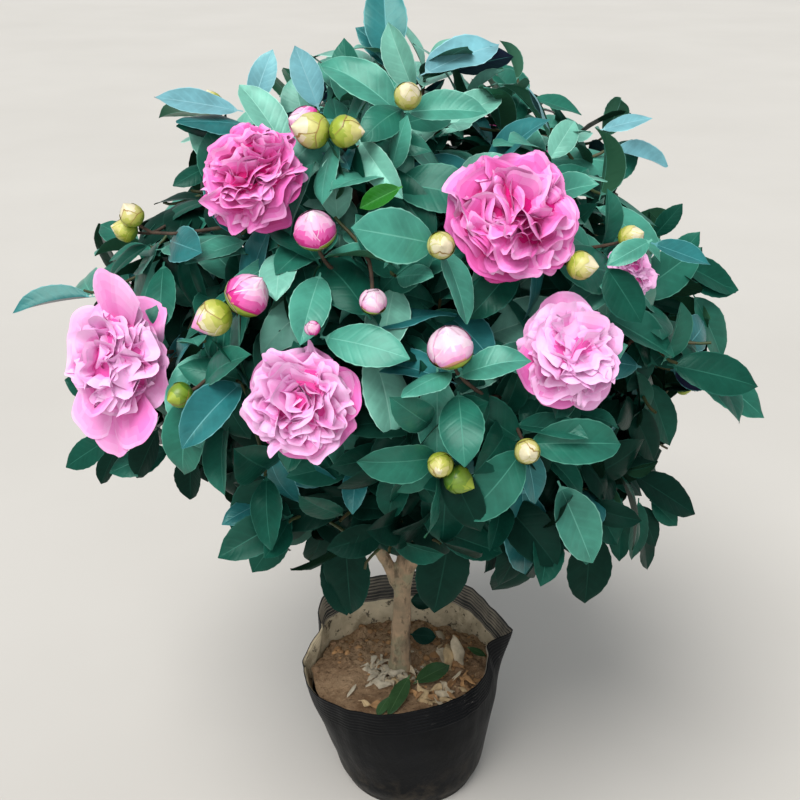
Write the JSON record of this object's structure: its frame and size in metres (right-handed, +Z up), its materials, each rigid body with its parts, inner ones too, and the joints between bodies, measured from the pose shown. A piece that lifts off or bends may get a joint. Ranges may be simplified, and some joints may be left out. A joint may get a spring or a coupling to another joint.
{
  "type": "camellia shrub in a nursery pot",
  "caption": "Flowering camellia shrub: a domed evergreen crown of glossy leaves, pink double blooms and buds on a short trunk, in a soft black nursery pot filled with soil.",
  "frame": {"origin": "on the flat underside of the pot, straight below the foot of the trunk", "axes": "+Z up the trunk, -Y to the front, +X to the right seen from the front"},
  "size_m": [0.814, 0.7192, 0.938],
  "materials": {
    "leaves": "glossy evergreen leaf",
    "blooms": "soft ruffled petals",
    "buds": "satin overlapping scales",
    "bark": "smooth fine-grained bark",
    "twigs": "matt young bark",
    "pot": "soft film plastic, dusty and scuffed",
    "soil": "crumbly earth",
    "litter": "dry fallen leaves"
  },
  "bodies": {
    "root": {"pot": "pot", "soil": "soil", "trunk": "bark", "limb_leader": "bark", "limb_left": "bark", "limb_front": "bark", "limb_back": "bark", "foliage_top": "leaves", "foliage_upper_1": "leaves", "foliage_upper_2": "leaves", "foliage_upper_3": "leaves", "foliage_upper_4": "leaves", "foliage_upper_5": "leaves", "foliage_middle_1": "leaves", "foliage_middle_2": "leaves", "foliage_middle_3": "leaves", "foliage_middle_4": "leaves", "foliage_middle_5": "leaves", "foliage_middle_6": "leaves", "foliage_middle_7": "leaves", "foliage_lower_1": "leaves", "foliage_lower_2": "leaves", "foliage_lower_3": "leaves", "foliage_lower_4": "leaves", "foliage_lower_5": "leaves", "foliage_lower_6": "leaves", "foliage_lower_7": "leaves", "bough_upper_2": "bark", "bough_upper_4": "bark", "bough_middle_1": "bark", "bough_middle_2": "bark", "bough_middle_3": "bark", "bough_middle_4": "bark", "bough_middle_5": "bark", "bough_middle_6": "bark", "bough_middle_7": "bark", "bough_lower_1": "bark", "bough_lower_2": "bark", "bough_lower_3": "bark", "bough_lower_4": "bark", "bough_lower_5": "bark", "bough_lower_6": "bark", "bough_lower_7": "bark"}
  },
  "joints": []
}
